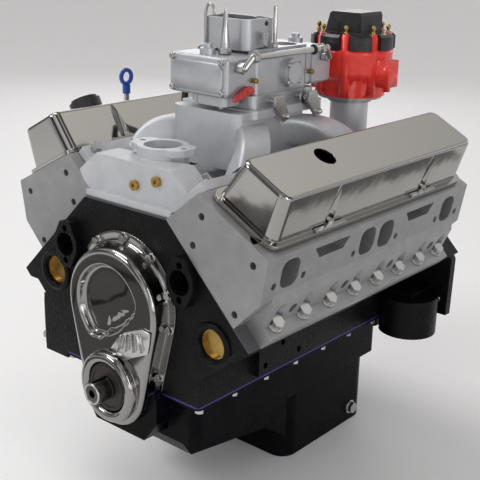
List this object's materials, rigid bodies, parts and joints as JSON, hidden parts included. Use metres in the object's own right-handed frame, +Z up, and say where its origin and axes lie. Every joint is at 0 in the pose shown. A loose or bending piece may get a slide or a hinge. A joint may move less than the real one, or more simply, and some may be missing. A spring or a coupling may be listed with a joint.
{
  "type": "complete v8 engine",
  "caption": "Overhead-valve 90-degree V8 engine with carburettor, distributor, open water and exhaust ports, front timing drive and deep rear sump.",
  "frame": {"origin": "on the crankshaft axis at the rear face of the cylinder block, at the mouth of the crankshaft pilot bore", "axes": "+X towards the left cylinder bank, +Y to the rear along the crankshaft, +Z up"},
  "size_m": [0.529, 0.584, 0.672],
  "materials": {
    "painted_iron": "dark cast texture",
    "machined_steel": "satin",
    "dark_steel": "satin",
    "bearing_metal": "smooth",
    "piston_alloy": "smooth",
    "head_alloy": "as cast",
    "intake_alloy": "as cast",
    "gasket_sheet": "matt",
    "pan_gasket_rubber": "matt",
    "cover_chrome": "polished",
    "pale_bolts": "plated",
    "plug_brass": "smooth",
    "seal_rubber": "matt",
    "pan_paint": "satin",
    "carb_zinc": "bright cast",
    "hose_rubber": "matt",
    "lever_red": "satin",
    "cap_red": "gloss",
    "cap_black": "gloss",
    "handle_blue": "gloss",
    "breather_black": "satin"
  },
  "bodies": {
    "engine": {"engine_block": "painted_iron", "core_plugs": "plug_brass", "plain_bearings": "bearing_metal", "main_bearing_caps": "dark_steel", "main_cap_bolts": "dark_steel", "timing_chain": "dark_steel", "connecting_rods": "dark_steel", "cylinder_head_left": "head_alloy", "cylinder_head_right": "head_alloy", "top_end_gaskets": "gasket_sheet", "head_bolts": "pale_bolts", "valves_and_springs": "machined_steel", "lifters_and_pushrods": "machined_steel", "rocker_arms": "machined_steel", "valve_cover_left": "cover_chrome", "valve_cover_right": "cover_chrome", "valve_cover_bolts": "pale_bolts", "intake_manifold": "intake_alloy", "intake_bolts": "pale_bolts", "brass_plugs": "plug_brass", "timing_cover": "cover_chrome", "timing_cover_bolts": "pale_bolts", "crank_seal": "seal_rubber", "oil_pan": "pan_paint", "oil_pan_gasket": "pan_gasket_rubber", "oil_pan_bolts": "pale_bolts", "oil_drain_plug": "pale_bolts", "oil_pump": "dark_steel", "fuel_pump_plate": "cover_chrome", "carburettor_base": "carb_zinc", "carburettor_body": "carb_zinc", "metering_blocks": "carb_zinc", "front_float_bowl": "carb_zinc", "rear_float_bowl": "carb_zinc", "fuel_transfer_tube": "pale_bolts", "vacuum_hose": "hose_rubber", "distributor_housing": "head_alloy", "distributor_cap": "cap_red", "coil_cover": "cap_black", "dipstick_tube": "pale_bolts"},
    "crankshaft": {"crankshaft": "machined_steel", "crank_sprocket": "dark_steel"},
    "camshaft": {"camshaft": "machined_steel", "cam_sprocket": "dark_steel"},
    "distributor_shaft": {"distributor_rotor": "machined_steel"},
    "primary_throttle": {"primary_throttle": "machined_steel"},
    "secondary_throttle": {"secondary_throttle": "machined_steel"},
    "choke": {"choke_plate": "machined_steel"},
    "pump_lever": {"pump_lever": "lever_red"},
    "breather_cap": {"breather_cap": "breather_black"},
    "dipstick": {"dipstick": "handle_blue"},
    "piston_1": {"piston_1": "piston_alloy"},
    "piston_2": {"piston_2": "piston_alloy"},
    "piston_3": {"piston_3": "piston_alloy"},
    "piston_4": {"piston_4": "piston_alloy"},
    "piston_5": {"piston_5": "piston_alloy"},
    "piston_6": {"piston_6": "piston_alloy"},
    "piston_7": {"piston_7": "piston_alloy"},
    "piston_8": {"piston_8": "piston_alloy"}
  },
  "joints": [
    {"name": "crank_spin", "type": "hinge", "parent": "engine", "child": "crankshaft", "pos_m": [0, 0, 0], "axis": [0, 1, 0], "continuous": true, "deforming": ["connecting_rods", "timing_chain"]},
    {"name": "cam_spin", "type": "hinge", "parent": "engine", "child": "camshaft", "pos_m": [0, 0, 0.11483], "axis": [0, 1, 0], "continuous": true},
    {"name": "distributor_spin", "type": "hinge", "parent": "engine", "child": "distributor_shaft", "pos_m": [0.036, -0.0655, 0.11483], "axis": [0, 0, 1], "continuous": true},
    {"name": "piston_1_slide", "type": "slide", "parent": "engine", "child": "piston_1", "axis": [0.7071, 0, 0.7071], "range_m": [-0.08839, 0]},
    {"name": "piston_3_slide", "type": "slide", "parent": "engine", "child": "piston_3", "axis": [0.7071, 0, 0.7071], "range_m": [-0.03728, 0.05111]},
    {"name": "piston_5_slide", "type": "slide", "parent": "engine", "child": "piston_5", "axis": [0.7071, 0, 0.7071], "range_m": [-0.03728, 0.05111]},
    {"name": "piston_7_slide", "type": "slide", "parent": "engine", "child": "piston_7", "axis": [0.7071, 0, 0.7071], "range_m": [0, 0.08839]},
    {"name": "piston_2_slide", "type": "slide", "parent": "engine", "child": "piston_2", "axis": [-0.7071, 0, 0.7071], "range_m": [-0.03728, 0.05111]},
    {"name": "piston_4_slide", "type": "slide", "parent": "engine", "child": "piston_4", "axis": [-0.7071, 0, 0.7071], "range_m": [0, 0.08839]},
    {"name": "piston_6_slide", "type": "slide", "parent": "engine", "child": "piston_6", "axis": [-0.7071, 0, 0.7071], "range_m": [-0.08839, 0]},
    {"name": "piston_8_slide", "type": "slide", "parent": "engine", "child": "piston_8", "axis": [-0.7071, 0, 0.7071], "range_m": [-0.03728, 0.05111]},
    {"name": "primary_throttle_turn", "type": "hinge", "parent": "engine", "child": "primary_throttle", "pos_m": [0, -0.231, 0.366], "axis": [1, 0, 0], "range_deg": [0, 80]},
    {"name": "secondary_throttle_turn", "type": "hinge", "parent": "engine", "child": "secondary_throttle", "pos_m": [0, -0.297, 0.366], "axis": [1, 0, 0], "range_deg": [0, 80]},
    {"name": "choke_turn", "type": "hinge", "parent": "engine", "child": "choke", "pos_m": [0, -0.299, 0.452], "axis": [1, 0, 0], "range_deg": [0, 80]},
    {"name": "pump_lever_turn", "type": "hinge", "parent": "engine", "child": "pump_lever", "pos_m": [0.058, -0.346, 0.384], "axis": [1, 0, 0], "range_deg": [-16, 0]},
    {"name": "breather_pull", "type": "slide", "parent": "engine", "child": "breather_cap", "axis": [-0.4683, 0, 0.8836], "range_m": [0, 0.03]},
    {"name": "dipstick_pull", "type": "slide", "parent": "engine", "child": "dipstick", "axis": [0, 0, 1], "range_m": [0, 0.15]}
  ],
  "couplings": [
    {"joint": "cam_spin", "follows": "crank_spin", "ratio": 0.5},
    {"joint": "distributor_spin", "follows": "crank_spin", "ratio": -0.5},
    {"joint": "pump_lever_turn", "follows": "primary_throttle_turn", "ratio": -0.2}
  ]
}
